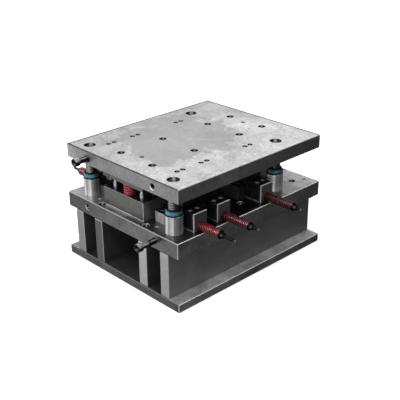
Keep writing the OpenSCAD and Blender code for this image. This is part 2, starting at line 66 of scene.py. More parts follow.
# ---------------------------------------------------------------- node helpers
class Tree:
    """Builds a material's nodes: each call adds one node and returns its first output."""

    def __init__(self, name):
        self.mat = bpy.data.materials.new(name)
        self.mat.use_nodes = True
        self.t = self.mat.node_tree
        self.bsdf = self.t.nodes["Principled BSDF"]
        self.xyz = self.t.nodes.new("ShaderNodeTexCoord").outputs["Object"]
        self.geo = self.t.nodes.new("ShaderNodeNewGeometry")

    def put(self, socket, v):
        if isinstance(v, bpy.types.NodeSocket):
            self.t.links.new(v, socket)
        elif isinstance(v, (tuple, list)) and len(v) == 3 and socket.type == "RGBA":
            socket.default_value = (*v, 1.0)
        else:
            socket.default_value = v

    def math(self, op, a, b=0.0, clamp=False):
        n = self.t.nodes.new("ShaderNodeMath")
        n.operation, n.use_clamp = op, clamp
        self.put(n.inputs[0], a)
        self.put(n.inputs[1], b)
        return n.outputs[0]

    def vmath(self, op, a, b):
        n = self.t.nodes.new("ShaderNodeVectorMath")
        n.operation = op
        self.put(n.inputs[0], a)
        self.put(n.inputs[1], b)
        return n.outputs[0]

    def scaled(self, s, shift=(0, 0, 0)):
        return self.vmath("ADD", self.vmath("MULTIPLY", self.xyz, tuple(s)), tuple(shift))

    def noise(self, scale, detail=3.0, rough=0.5, vec=None, distort=0.0):
        n = self.t.nodes.new("ShaderNodeTexNoise")
        self.put(n.inputs["Vector"], self.xyz if vec is None else vec)
        n.inputs["Scale"].default_value = scale
        n.inputs["Detail"].default_value = detail
        n.inputs["Roughness"].default_value = rough
        n.inputs["Distortion"].default_value = distort
        return n.outputs["Fac"]

    def ramp(self, fac, lo, hi, a=0.0, b=1.0):
        """Smooth step of fac from lo..hi to a..b."""
        n = self.t.nodes.new("ShaderNodeMapRange")
        n.interpolation_type = "SMOOTHSTEP"
        self.put(n.inputs["Value"], fac)
        for k, v in zip(("From Min", "From Max", "To Min", "To Max"), (lo, hi, a, b)):
            self.put(n.inputs[k], v)
        return n.outputs["Result"]

    def mix(self, fac, a, b, kind="MIX"):
        n = self.t.nodes.new("ShaderNodeMix")
        n.data_type, n.blend_type = "RGBA", kind
        self.put(n.inputs[0], fac)
        self.put(n.inputs[6], a)
        self.put(n.inputs[7], b)
        return n.outputs[2]

    def stops(self, fac, at, lo=-1.0, hi=1.0):
        """Grey tone that follows fac through (value, tone) points."""
        n = self.t.nodes.new("ShaderNodeValToRGB")
        self.put(n.inputs[0], self.math("DIVIDE", self.math("SUBTRACT", fac, lo), hi - lo))
        e = n.color_ramp.elements
        while len(e) > 1:
            e.remove(e[-1])
        for k, (v, tone) in enumerate(at):
            one = e[0] if k == 0 else e.new((v - lo) / (hi - lo))
            one.position = (v - lo) / (hi - lo)
            one.color = (tone, tone, tone, 1.0)
        return n.outputs[0]

    def inside(self, p, x0, x1, y0, y1, soft, wobble=0.0):
        """1 within a box of the object's X and Y, in metres, fading over soft."""
        f = None
        for v, lo, hi in ((p[0], x0, x1), (p[1], y0, y1)):
            v = self.math("ADD", v, wobble)
            g = self.math("MULTIPLY", self.ramp(v, lo - soft, lo + soft), self.ramp(v, hi - soft, hi + soft, 1.0, 0.0))
            f = g if f is None else self.math("MULTIPLY", f, g)
        return f

    def parts(self, vec):
        n = self.t.nodes.new("ShaderNodeSeparateXYZ")
        self.put(n.inputs[0], vec)
        return n.outputs

    def facing(self):
        """How far each face points along X, Y and up, 0..1, and how much it is a bevel between them."""
        n = self.parts(self.geo.outputs["Normal"])
        x, y, z = (self.math("ABSOLUTE", n[i]) for i in range(3))
        most = self.math("MAXIMUM", self.math("MAXIMUM", x, y), z)
        return x, y, z, self.ramp(most, 0.93, 0.8), n[2]

    def bump(self, height, strength, distance, normal=None):
        n = self.t.nodes.new("ShaderNodeBump")
        self.put(n.inputs["Height"], height)
        n.inputs["Strength"].default_value = strength
        n.inputs["Distance"].default_value = distance
        if normal is not None:
            self.put(n.inputs["Normal"], normal)
        return n.outputs[0]

    def finish(self, color, metallic, rough, normal=None, **sockets):
        self.put(self.bsdf.inputs["Base Color"], color)
        self.put(self.bsdf.inputs["Metallic"], metallic)
        self.put(self.bsdf.inputs["Roughness"], rough)
        if normal is not None:
            self.put(self.bsdf.inputs["Normal"], normal)
        for k, v in sockets.items():
            self.put(self.bsdf.inputs[k.replace("_", " ")], v)
        return self.mat


def grey(v, warm=0.0):
    return (v * (1 + warm), v, v * (1 - warm))


# ---------------------------------------------------------------- materials
def plate(name, top, end, side, edge, metallic=0.75, rough=0.38, blotch=0.16, speck=0.05, tint=(1.0, 1.0, 1.0), under=0.05, seed=0.0,
          edge_down=None, edge_upright=None, edge_left=None, outline=None, far_tone=1.0, seam=None, painted_light_patches=(), calm=None, painted_border_shade=None, painted_hole_shade=None, shine=0.5, painted_foot_highlight=None, edge_metal=None):
    """A machined plate. Top, end faces (+-X), long sides (+-Y), underside and bevels each have their own tone: painted
    light and shade for how light falls on each face, and on the bevels a painted highlight that is partly wear.
    outline: (half length, half width, tone, tone of the left edge) of the top face's outer bevel, a painted highlight
    with a painted dark line on the left; seam: height where bevels lose their painted highlight.
    patches: (face, x0, x1, y0, y1, fade, factor), painted light and shade: a face made lighter or darker inside a box;
    calm: (x0, x1, y0, y1, factor), a smoother area of the top face;
    strip: (half length, half width, factor at the far edges, factor at the left edge), painted shade along the top
    face's border;
    hollow: (half length, half width, top), inside which the walls of holes are painted dark as shade; foot: (height,
    tone) of a painted highlight along the ends' lower edge."""
    m = Tree(name)
    n = m.parts(m.geo.outputs["Normal"])
    x, y, z = (m.math("ABSOLUTE", n[i]) for i in range(3))
    bevel = m.ramp(m.math("MAXIMUM", m.math("MAXIMUM", x, y), z), 0.8, 0.93, 1.0, 0.0)
    p = m.parts(m.xyz)
    # Painted light and shade: one tone per face direction, with lit tops, darker sides and a dark underside.
    tones = [tuple(v * c for c in tint) for v in (top, side, end, under)]
    base = m.mix(m.ramp(x, 0.6, 0.8), m.mix(m.ramp(y, 0.6, 0.8), tones[0], tones[1]), tones[2])
    base = m.mix(m.ramp(n[2], -0.8, -0.6, 1.0, 0.0), base, tones[3])
    shift = (seed, seed * 0.7, seed * 0.3)
    big = m.noise(5.5, 3.0, 0.55, m.scaled((1, 1, 1), shift), 0.8)
    mid = m.noise(26.0, 4.0, 0.62, m.scaled((1, 1, 1), shift), 0.5)
    grain = m.noise(430.0, 2.0, 0.7, m.scaled((1, 1, 1), shift))
    fine = m.noise(150.0, 3.0, 0.65, m.scaled((1, 1, 1), shift))
    tone = m.math("ADD", m.ramp(big, 0.3, 0.7, 1 - blotch, 1 + blotch * 0.6), m.ramp(mid, 0.3, 0.7, -blotch * 0.6, blotch * 0.6))
    tone = m.math("ADD", tone, m.ramp(fine, 0.3, 0.7, -speck, speck))
    tone = m.math("ADD", tone, m.ramp(grain, 0.3, 0.7, -speck, speck))
    if far_tone != 1.0:
        slow = m.math("ADD", m.math("MULTIPLY", p[0], 0.8), m.math("MULTIPLY", p[1], -0.5))
        tone = m.math("MULTIPLY", tone, m.ramp(m.math("ADD", slow, m.ramp(big, 0.3, 0.7, -0.08, 0.08)), -0.3, 0.3, 1.0, far_tone))
    upward = m.ramp(n[2], 0.8, 0.93)
    faces = {"top": upward, "end": m.ramp(x, 0.6, 0.8), "side": m.ramp(y, 0.6, 0.8)}
    warp = m.ramp(m.noise(11.0, 4.0, 0.6, m.scaled((1, 1, 1), shift), 0.6), 0.3, 0.7, -0.03, 0.03)
    if calm is not None:
        still = m.math("MULTIPLY", upward, m.inside(p, *calm[:4], 0.014, m.math("MULTIPLY", warp, 1.4)))
        flat = m.math("ADD", m.math("MULTIPLY", m.math("SUBTRACT", tone, 1.0), 0.5), 1.0)
        tone = m.math("ADD", tone, m.math("MULTIPLY", still, m.math("SUBTRACT", m.math("MULTIPLY", flat, calm[4]), tone)))
    # Painted light and shade: each patch lightens or darkens one face inside a box, as a cast shadow or a lit end.
    for face, x0, x1, y0, y1, fade, factor in painted_light_patches:
        f = m.math("MULTIPLY", faces[face], m.inside(p, x0, x1, y0, y1, fade, m.math("MULTIPLY", warp, min(1.0, fade * 30.0))))
        tone = m.math("MULTIPLY", tone, m.math("ADD", m.math("MULTIPLY", f, factor - 1.0), 1.0))
    # Painted shade: the walls of holes below the top face are darkened.
    if painted_hole_shade is not None:
        hole_shade_mask = m.math("MULTIPLY", m.inside(p, -painted_hole_shade[0], painted_hole_shade[0], -painted_hole_shade[1], painted_hole_shade[1], 0.0001), m.ramp(p[2], painted_hole_shade[2] - 0.0006, painted_hole_shade[2] - 0.0001, 1.0, 0.0))
        hole_shade_mask = m.math("MULTIPLY", hole_shade_mask, m.ramp(z, 0.5, 0.8, 1.0, 0.0))
        tone = m.math("MULTIPLY", tone, m.math("SUBTRACT", 1.0, m.math("MULTIPLY", hole_shade_mask, 0.92)))
    # Painted shade: thin dark lines along the top face's far edges and its left edge.
    if painted_border_shade is not None:
        hx, hy, far_f, left_f = painted_border_shade
        far_edge = m.math("MAXIMUM", m.ramp(p[0], hx - 0.0003, hx), m.ramp(p[1], hy - 0.0003, hy))
        left_edge = m.ramp(p[0], -hx - 0.003, -hx - 0.0027, 1.0, 0.0)
        for f, factor in ((far_edge, far_f), (left_edge, left_f)):
            tone = m.math("MULTIPLY", tone, m.math("ADD", m.math("MULTIPLY", m.math("MULTIPLY", f, upward), factor - 1.0), 1.0))
    base = m.vmath("MULTIPLY", base, combine(m, tone))
    # Bevels: a painted highlight, partly real wear, with its strength varied by noise; downward bevels get a painted
    # shade tone, and the outline gets a painted highlight with a painted dark line along its left edge.
    worn = m.ramp(m.noise(60.0, 3.0), 0.25, 0.5, 0.6, 1.0)
    lip = m.mix(m.ramp(n[2], -0.3, -0.2), grey(edge if edge_down is None else edge_down), m.mix(m.ramp(n[2], 0.2, 0.3), grey(edge if edge_upright is None else edge_upright), grey(edge)))
    if edge_left is not None:
        lip = m.mix(m.math("MULTIPLY", m.ramp(n[0], -0.3, -0.2, 1.0, 0.0), m.ramp(n[2], 0.2, 0.3)), lip, grey(edge_left))
    if outline is not None:
        outer = m.math("MAXIMUM", m.ramp(m.math("ABSOLUTE", p[0]), outline[0], outline[0] + 0.0002), m.ramp(m.math("ABSOLUTE", p[1]), outline[1], outline[1] + 0.0002))
        lip = m.mix(m.math("MULTIPLY", outer, m.ramp(n[2], 0.2, 0.3)), lip, m.mix(m.ramp(p[2], 0.344, 0.3445), grey(1.0), grey(outline[2])))
        left = m.math("MULTIPLY", m.math("MULTIPLY", outer, m.ramp(p[2], 0.344, 0.3445)), m.math("MULTIPLY", m.ramp(n[0], -0.3, -0.2, 1.0, 0.0), m.ramp(n[2], 0.2, 0.3)))
        lip = m.mix(left, lip, grey(outline[3]))
    if seam is not None:
        near = m.math("MULTIPLY", m.ramp(m.math("ABSOLUTE", m.math("SUBTRACT", p[2], seam)), 0.001, 0.0015, 1.0, 0.0), m.ramp(z, 0.1, 0.2))
        lip = m.mix(near, lip, m.vmath("MULTIPLY", base, (1.6, 1.6, 1.6)))
    # Painted highlight: a bright line along the ends' lower edge.
    if painted_foot_highlight is not None:
        base = m.mix(m.math("MULTIPLY", faces["end"], m.ramp(p[2], painted_foot_highlight[0], painted_foot_highlight[0] + 0.0004, 1.0, 0.0)), base, grey(painted_foot_highlight[1]))
    base = m.mix(m.math("MULTIPLY", bevel, worn), base, lip)
    r = m.math("ADD", m.ramp(mid, 0.3, 0.7, rough - 0.06, rough + 0.09), m.ramp(fine, 0.3, 0.7, -0.04, 0.04))
    nb = m.bump(m.math("ADD", m.math("MULTIPLY", fine, 0.6), m.noise(600.0, 2.0, 0.6, m.scaled((1, 1, 1), shift))), 0.12, 0.0004)
    if edge_metal is not None:
        metallic = m.ramp(bevel, 0.0, 1.0, metallic, edge_metal)
    return m.finish(base, metallic, r, nb, Specular_IOR_Level=shine)


def combine(m, v):
    n = m.t.nodes.new("ShaderNodeCombineXYZ")
    for i in range(3):
        m.put(n.inputs[i], v)
    return n.outputs[0]


MAT = {}
GREEN = (0.97, 1.0, 0.955)
# Painted light and shade in these plates: the lower shoe's top is darkened where it lies under the upper shoe and
# lightened at its open right end, the base plate's channels are darkened, ends and sides are lightened or darkened
# where light falls, and the die block's near-black top is a painted reflection of the dark above it.
MAT["upper_shoe"] = plate("upper_shoe_steel", 0.585, 0.3, 0.11, 0.1, 0.55, 0.42, 0.15, 0.15, seed=1.3, edge_down=0.06, edge_upright=0.55, outline=(0.2785, 0.2305, 0.6, 0.03), far_tone=1.25,
                          calm=(-0.2, 0.14, -0.09, 0.2, 0.73), painted_border_shade=(0.2725, 0.2245, 0.2, 0.14), painted_hole_shade=(0.2785, 0.2305, 0.3464),
                          painted_light_patches=(("end", -0.4, 0.0, 0.16, 0.4, 0.06, 1.5), ("side", -0.4, -0.1, -0.4, 0.4, 0.15, 1.2), ("side", 0.05, 0.4, -0.4, 0.4, 0.15, 0.7),
                                   ("top", 0.15, 0.4, 0.09, 0.4, 0.04, 0.8), ("top", -0.4, 0.4, 0.2, 0.4, 0.012, 0.93), ("top", 0.15, 0.4, 0.02, 0.09, 0.03, 0.9), ("top", -0.4, -0.2, 0.0, 0.1, 0.03, 0.9),
                                   ("top", -0.4, -0.19, -0.4, -0.08, 0.03, 1.15), ("top", 0.2, 0.4, -0.4, -0.03, 0.03, 1.12),
                                   ("top", -0.4, 0.4, -0.4, -0.2265, 0.003, 1.2)))
MAT["lower_shoe"] = plate("lower_shoe_steel", 0.36, 0.18, 0.17, 1.0, 0.85, 0.28, 0.32, 0.12, seed=4.1, edge_down=0.06, edge_upright=0.7, edge_left=0.45, edge_metal=0.3,
                          painted_light_patches=(("top", -0.215, 0.125, -0.24, -0.1, 0.02, 0.06), ("top", -0.2, 0.125, 0.1, 0.24, 0.02, 0.12), ("top", 0.19, 0.4, -0.4, 0.4, 0.02, 1.3),
                                   ("top", -0.4, -0.205, -0.4, -0.02, 0.015, 0.3), ("end", -0.4, 0.0, 0.1, 0.4, 0.07, 0.46), ("top", 0.22, 0.4, -0.4, -0.1, 0.03, 1.4),
                                   ("side", -0.4, -0.1, -0.4, 0.4, 0.15, 1.5)))
MAT["base_plate"] = plate("base_plate_steel", 0.4, 0.095, 0.15, 0.85, 0.4, 0.42, 0.32, 0.16, seed=7.7, edge_down=0.05, edge_upright=0.8, edge_left=0.16,
                          painted_light_patches=(("top", -0.4, 0.4, -0.198, 0.198, 0.0005, 0.12), ("top", -0.4, 0.4, -0.4, -0.199, 0.0005, 1.15), ("side", 0.12, 0.4, -0.4, 0.4, 0.1, 0.7)))
for k, end, side in (("parallel_p1", 0.32, 0.1), ("parallel_p2", 0.13, 0.1), ("parallel_p3", 0.52, 0.1), ("parallel_p4", 0.48, 0.2)):
    MAT[k] = plate(k + "_steel", 0.2, end, side, 0.6, 0.7, 0.42, 0.12, 0.06, seed=2.2 + end, edge_down=0.1, edge_upright=0.6,
                   painted_light_patches=(("side", -0.4, -0.05, -0.4, 0.4, 0.2, 1.25), ("side", 0.05, 0.4, -0.4, 0.4, 0.2, 0.85), ("end", -0.4, 0.0, -0.4, 0.4, 0.02, 1.04)))
MAT["die_block"] = plate("die_block_steel", 0.03, 0.17, 0.25, 0.3, 0.7, 0.36, 0.16, 0.1, GREEN, seed=9.1, edge_down=0.9, edge_upright=1.0, seam=0.235, painted_foot_highlight=(0.2034, 1.0))
MAT["holder"] = plate("punch_holder_steel", 0.1, 0.17, 0.06, 0.3, 0.7, 0.36, 0.16, 0.08, seed=6.1, under=0.02, edge_down=0.05,
                      painted_light_patches=(("end", -0.265, -0.23, 0.06, 0.1, 0.002, 0.4), ("side", -0.265, -0.23, 0.06, 0.1, 0.002, 0.4)))
MAT["spring_plate"] = plate("spring_plate_steel", 0.8, 1.0, 0.09, 0.95, 0.6, 0.4, 0.12, 0.07, seed=3.4, edge_down=0.1, edge_upright=0.95)
MAT["gib"] = plate("gib_steel", 0.06, 0.16, 0.05, 0.3, 0.7, 0.36, 0.2, 0.07, seed=5.5, edge_down=0.03,
                   painted_light_patches=(("end", -0.4, -0.21, -0.4, 0.0, 0.005, 4.5), ("end", 0.0, 0.06, -0.4, 0.4, 0.005, 1.8)))
MAT["wear"] = plate("wear_plate_steel", 0.1, 0.6, 0.3, 0.7, 0.7, 0.3, 0.15, 0.07, seed=6.5)
MAT["black_block"] = plate("black_oxide_block", 0.012, 0.03, 0.012, 0.12, 0.5, 0.36, 0.3, 0.08, seed=8.8, edge_down=0.02, shine=0.2)


def screw_mat(name, base, edge, metallic=0.6, rough=0.35, shine=0.5, lit=None):
    m = Tree(name)
    x, y, z, bevel, up = m.facing()
    n = m.noise(120.0, 3.0, 0.6)
    # Bevels: a painted highlight, partly wear, varied by noise.
    col = m.mix(m.math("MULTIPLY", bevel, m.ramp(n, 0.3, 0.6, 0.5, 1.0)), m.mix(m.ramp(n, 0.3, 0.7), grey(base * 0.7), grey(base * 1.3)), grey(edge))
    # lit: tone of a painted highlight on faces turned up and to the left.
    if lit is not None:
        q = m.parts(m.geo.outputs["Normal"])
        face = m.math("MULTIPLY", m.ramp(q[2], 0.3, 0.5), m.math("MULTIPLY", m.ramp(q[2], 0.75, 0.9, 1.0, 0.0), m.ramp(q[0], -0.35, -0.2, 1.0, 0.0)))
        col = m.mix(m.math("MULTIPLY", face, m.ramp(n, 0.4, 0.6, 0.3, 1.0)), col, grey(lit))
    return m.finish(col, metallic, m.ramp(n, 0.3, 0.7, rough - 0.06, rough + 0.08), m.bump(m.noise(900.0, 2.0), 0.1, 0.0002), Specular_IOR_Level=shine)


MAT["black_screw"] = screw_mat("black_oxide_screw", 0.006, 0.07, 0.3, 0.4, 0.1)
MAT["nut"] = screw_mat("black_oxide_nut", 0.004, 0.01, 0.2, 0.36, 0.08, 0.1)
# Heel screws: light heads whose bevels are painted bright as glints.
MAT["bright_screw"] = screw_mat("screw_with_painted_glints", 0.6, 1.0, 0.5, 0.2)
MAT["ground"] = screw_mat("ground_pin_steel", 0.55, 0.8, 0.9, 0.22)


def turn(m):
    """How far a face looks to the right-hand end, -1..1, for the bands that light and dark surroundings leave on round steel."""
    n = m.parts(m.geo.outputs["Normal"])
    return m.math("ADD", m.math("MULTIPLY", n[0], 0.7207), m.math("MULTIPLY", n[1], -0.693))


def polished(name, bands, rough, grooves=None, metal=1.0, shade=1.0):
    """Ground and polished round steel: painted reflection bands by the direction each face looks, painted light near
    the foot, painted shade in the grooves and a painted lift on one bush, with fine streaks and a faint oil film.
    """
    m = Tree(name)
    n = m.parts(m.geo.outputs["Normal"])
    streak = m.noise(1.0, 2.0, 0.6, m.scaled((420, 420, 4)))
    rings = m.noise(400.0, 2.0, 0.6, m.scaled((0.03, 0.03, 1.0)))
    oil = m.noise(30.0, 3.0, 0.6)
    shift = m.math("ADD", turn(m), m.ramp(streak, 0.3, 0.7, -0.025, 0.025))
    upright = m.ramp(m.math("ABSOLUTE", n[2]), 0.3, 0.6, 1.0, 0.0)
    # Painted reflection: upright faces get tone bands by the direction they face.
    col = m.mix(upright, grey(0.4), m.stops(shift, bands))
    tone = m.math("MULTIPLY", m.ramp(streak, 0.3, 0.7, 0.78, 1.12), m.ramp(oil, 0.35, 0.7, 1.0, 0.9))
    # Painted light: brighter towards the foot.
    tone = m.math("MULTIPLY", tone, m.ramp(m.parts(m.xyz)[2], 0.202, 0.226, 1.5, 1.0))
    if grooves is not None:
        z = m.math("DIVIDE", m.math("SUBTRACT", m.parts(m.xyz)[2], grooves[0]), grooves[2])
        # Painted shade in the grooves.
        groove_shade = m.math("MULTIPLY", m.ramp(m.math("FRACT", z), 0.0, 0.08), m.ramp(m.math("FRACT", z), 0.4, 0.48, 1.0, 0.0))
        groove_shade = m.math("MULTIPLY", groove_shade, m.ramp(m.parts(m.xyz)[2], grooves[1], grooves[1] + 0.0005, 1.0, 0.0))
        tone = m.math("MULTIPLY", tone, m.math("SUBTRACT", 1.0, m.math("MULTIPLY", groove_shade, 0.75)))
    if shade != 1.0:
        # Painted light: the bush at +X, -Y is brightened, most on its left side, which lies in shade.
        near = m.math("MULTIPLY", m.ramp(m.parts(m.xyz)[0], 0.09, 0.1), m.ramp(m.parts(m.xyz)[1], -0.1, -0.09, 1.0, 0.0))
        lift = m.math("MULTIPLY", near, m.ramp(turn(m), -0.1, 0.1, shade - 1.0, 0.35))
        tone = m.math("MULTIPLY", tone, m.math("ADD", lift, 1.0))
    col = m.vmath("MULTIPLY", col, combine(m, tone))
    r = m.math("ADD", m.ramp(oil, 0.3, 0.7, rough - 0.05, rough + 0.07), m.ramp(rings, 0.3, 0.7, -0.04, 0.04))
    return m.finish(col, m.ramp(turn(m), 0.3, 0.7, metal, min(metal, 0.55)), r, m.bump(m.math("ADD", m.math("MULTIPLY", streak, 0.6), m.math("MULTIPLY", rings, 0.4)), 0.12, 0.0002))


MAT["bush"] = polished("guide_bush_steel", [(-1, 0.1), (-0.91, 0.36), (-0.8, 1.0), (-0.69, 0.74), (-0.58, 0.4), (-0.47, 0.38), (-0.38, 0.6), (-0.26, 0.56), (-0.17, 1.0), (-0.09, 1.0),
                                            (-0.02, 0.5), (0.07, 0.27), (0.2, 0.3), (0.3, 0.22), (0.42, 0.32), (0.53, 0.19), (0.64, 0.17), (0.76, 0.27), (0.88, 0.2), (0.97, 0.16), (1, 0.08)], 0.2, metal=0.4, shade=3.2)
MAT["post"] = polished("guide_post_steel", [(-1, 0.08), (-0.88, 0.14), (-0.76, 0.6), (-0.6, 0.5), (-0.48, 0.34), (-0.3, 0.68), (-0.15, 0.48), (0, 0.2), (0.15, 0.26), (0.3, 0.13),
                                            (0.5, 0.07), (0.8, 0.05), (1, 0.03)], 0.24, (0.212, 0.2995, 0.005))


def painted(name, color, dark, rough, worn=(0.3, 0.28, 0.27), wear=0.62, coat=0.4, bands=None, painted_glint=0.0, painted_shade_by_x=None):
    m = Tree(name)
    n = m.noise(45.0, 4.0, 0.6)
    f = m.noise(300.0, 3.0, 0.6)
    col = m.mix(m.ramp(n, 0.3, 0.7), color, dark)
    if bands is not None:
        # Painted shade at the ring's foot and over its top rim, and painted reflection bands by the direction each face
        # looks.
        z = m.parts(m.xyz)[2]
        col = m.mix(m.math("MAXIMUM", m.ramp(z, 0.2546, 0.2556, 1.0, 0.0), m.ramp(z, 0.2638, 0.2645)), col, m.vmath("MULTIPLY", col, (0.08, 0.08, 0.08)))
        col = m.vmath("MULTIPLY", col, m.stops(turn(m), bands))
        col = m.vmath("MULTIPLY", col, (2.0, 2.0, 2.0))
    if painted_shade_by_x is not None:
        # Painted shade: springs further along +X are darker, with less coat, as they lie deeper in shade.
        col = m.vmath("MULTIPLY", col, combine(m, m.ramp(m.parts(m.xyz)[0], *painted_shade_by_x)))
        coat = m.ramp(m.parts(m.xyz)[0], painted_shade_by_x[0], painted_shade_by_x[1], coat, coat * 0.7)
    if painted_glint:
        # Painted shade: darker near the spring plate.
        out = m.math("ABSOLUTE", m.parts(m.xyz)[1])
        col = m.vmath("MULTIPLY", col, combine(m, m.ramp(out, 0.214, 0.25, 0.35, 1.0)))
        # Painted highlight: glints along a line on the coils' upper left, fading further along +X.
        up = m.parts(m.geo.outputs["Normal"])[2]
        glint_line = m.math("MULTIPLY", m.ramp(up, 0.48, 0.58), m.ramp(up, 0.66, 0.76, 1.0, 0.0))
        glint_line = m.math("MULTIPLY", glint_line, m.math("MULTIPLY", m.ramp(out, 0.225, 0.27), m.ramp(m.parts(m.xyz)[0], -0.17, 0.0, 1.0, 0.25)))
        col = m.mix(m.math("MULTIPLY", glint_line, m.ramp(f, 0.42, 0.56, 0.15, painted_glint)), col, (1.0, 0.6, 0.6))
    if wear < 1.0:
        chips = m.math("MULTIPLY", m.ramp(f, wear, wear + 0.05), m.ramp(n, 0.45, 0.65))
        col = m.mix(chips, col, worn)
    return m.finish(col, 0.0, m.ramp(f, 0.3, 0.7, rough - 0.05, rough + 0.1), m.bump(f, 0.15, 0.0003), Coat_Weight=coat, Coat_Roughness=0.1, Specular_IOR_Level=0.5 if bands is None else 0.1)


MAT["red"] = painted("spring_red_paint", (0.5, 0.035, 0.06), (0.36, 0.02, 0.035), 0.25, wear=1.0, coat=0.8)
# Dark red springs: painted shade near the plates and further along +X, and painted glints along the coils.
MAT["burgundy"] = painted("spring_dark_red_paint", (0.23, 0.016, 0.024), (0.15, 0.009, 0.014), 0.22, wear=1.0, coat=1.0, painted_glint=1.0, painted_shade_by_x=(-0.2, -0.06, 1.08, 0.34))
MAT["teal"] = painted("wiper_ring_teal", (0.09, 0.24, 0.34), (0.05, 0.15, 0.2), 0.4, (0.3, 0.42, 0.48), 0.6, 0.12,
                      [(-1, 0.2), (-0.92, 0.3), (-0.82, 1.0), (-0.6, 0.85), (-0.4, 0.62), (-0.1, 0.7), (0.05, 0.8), (0.15, 0.45), (0.3, 0.7), (0.45, 0.4), (0.7, 0.25), (1, 0.2)])


# ---------------------------------------------------------------- CAD nodes keep their shape and get a finish
def finish_node(name, mat):
    o = nodes[name]
    if not o.material_slots:
        o.data.materials.append(mat)
    for s in o.material_slots:
        s.material = mat


by_mat = {
    "upper_shoe": ["upper_shoe"], "lower_shoe": ["lower_shoe"], "base_plate": ["base_plate"],
    "parallel_p1": ["parallel_rear_outer"], "parallel_p2": ["parallel_rear_inner"], "parallel_p3": ["parallel_front_inner"],
    "parallel_p4": ["parallel_front_outer"], "holder": ["punch_holder"],
    "die_block": ["die_block", "stripper_plate"], "spring_plate": ["spring_plates"], "gib": ["slide_gibs"], "wear": ["wear_plates"],
    "black_block": ["heel_blocks_front", "heel_blocks_rear", "cam_drivers_front", "cam_drivers_rear"],
    "black_screw": ["gib_screws", "parallel_screws", "die_block_screws", "driver_screws", "holder_screws", "stripper_bolts",
                    "lower_lifting_screw", "upper_lifting_screw"],
    "bright_screw": ["heel_screws"],
    "ground": ["lower_dowels", "upper_dowels", "sub_guide_pins", "punches", "stripper_bushes", "die_buttons"],
    "bush": ["guide_bushes"], "post": ["guide_posts"], "teal": ["wiper_rings"], "red": ["die_springs"],
}
UNITS = [(s + str(i + 1), sy, x, l, t) for s, sy, ls, ts in (("f", -1, (72, 92, 96), (342, 342, 342)), ("r", 1, (80, 84, 90), (336, 340, 342)))
         for i, (x, l, t) in enumerate(zip((-190, -103, 67), ls, ts))]
for u, *_ in UNITS:
    by_mat["black_block"].append("cam_slide_" + u)
    by_mat.setdefault("nut", []).extend(["pull_rod_" + u, "rod_nuts_" + u])
    by_mat.setdefault("burgundy", []).append("cam_spring_" + u)
for k, names in by_mat.items():
    for n in names:
        finish_node(n, MAT[k])


# ---------------------------------------------------------------- mesh helpers
def mesh_object(name, verts, faces, mat, smooth=30.0):
    me = bpy.data.meshes.new(name)
    me.from_pydata([tuple(v) for v in verts], [], [tuple(f) for f in faces])
    me.materials.append(mat)
    me.validate()
    ob = bpy.data.objects.new(name, me)
    bpy.context.scene.collection.objects.link(ob)
    bpy.context.view_layer.objects.active = ob
    for o in bpy.context.selected_objects:
        o.select_set(False)
    ob.select_set(True)
    bpy.ops.object.shade_smooth_by_angle(angle=math.radians(smooth))
    ob.select_set(False)
    for md in list(ob.modifiers):
        ob.modifiers.remove(md)
    return ob


def rows(profile, n):
    """Rings of (radius, height) round an axis. A row may give its own radius for each angle."""
    out = []
    for r, z in profile:
        rr = np.full(n, float(r)) if np.isscalar(r) else np.asarray(r, float)
        zz = np.full(n, float(z)) if np.isscalar(z) else np.asarray(z, float)
        out.append((rr, zz))
    return out


def turned(rings, to_row, closed, off=0):
    """Surface through the rings. closed joins the last ring to the first, otherwise both ends get a centre point."""
    n = len(rings[0][0])
    a = np.arange(n) * 2 * math.pi / n
    verts, faces = [], []
    for r, z in rings:
        verts += [to_row((r[j] * math.cos(a[j]), r[j] * math.sin(a[j]), z[j])) for j in range(n)]
    m = len(rings)
    for k in range(m if closed else m - 1):
        p, q = k * n, ((k + 1) % m) * n
        faces += [(off + p + j, off + p + (j + 1) % n, off + q + (j + 1) % n, off + q + j) for j in range(n)]
    if not closed:
        c0, c1 = len(verts), len(verts) + 1
        verts.append(to_row((0, 0, float(rings[0][1].mean()))))
        verts.append(to_row((0, 0, float(rings[-1][1].mean()))))
        faces += [(off + (j + 1) % n, off + j, off + c0) for j in range(n)]
        e = (m - 1) * n
        faces += [(off + e + j, off + e + (j + 1) % n, off + c1) for j in range(n)]
    return verts, faces


def hexagon(af, n):
    a = np.degrees(np.arange(n) * 2 * math.pi / n) % 60 - 30
    return af / 2 / np.cos(np.radians(a))


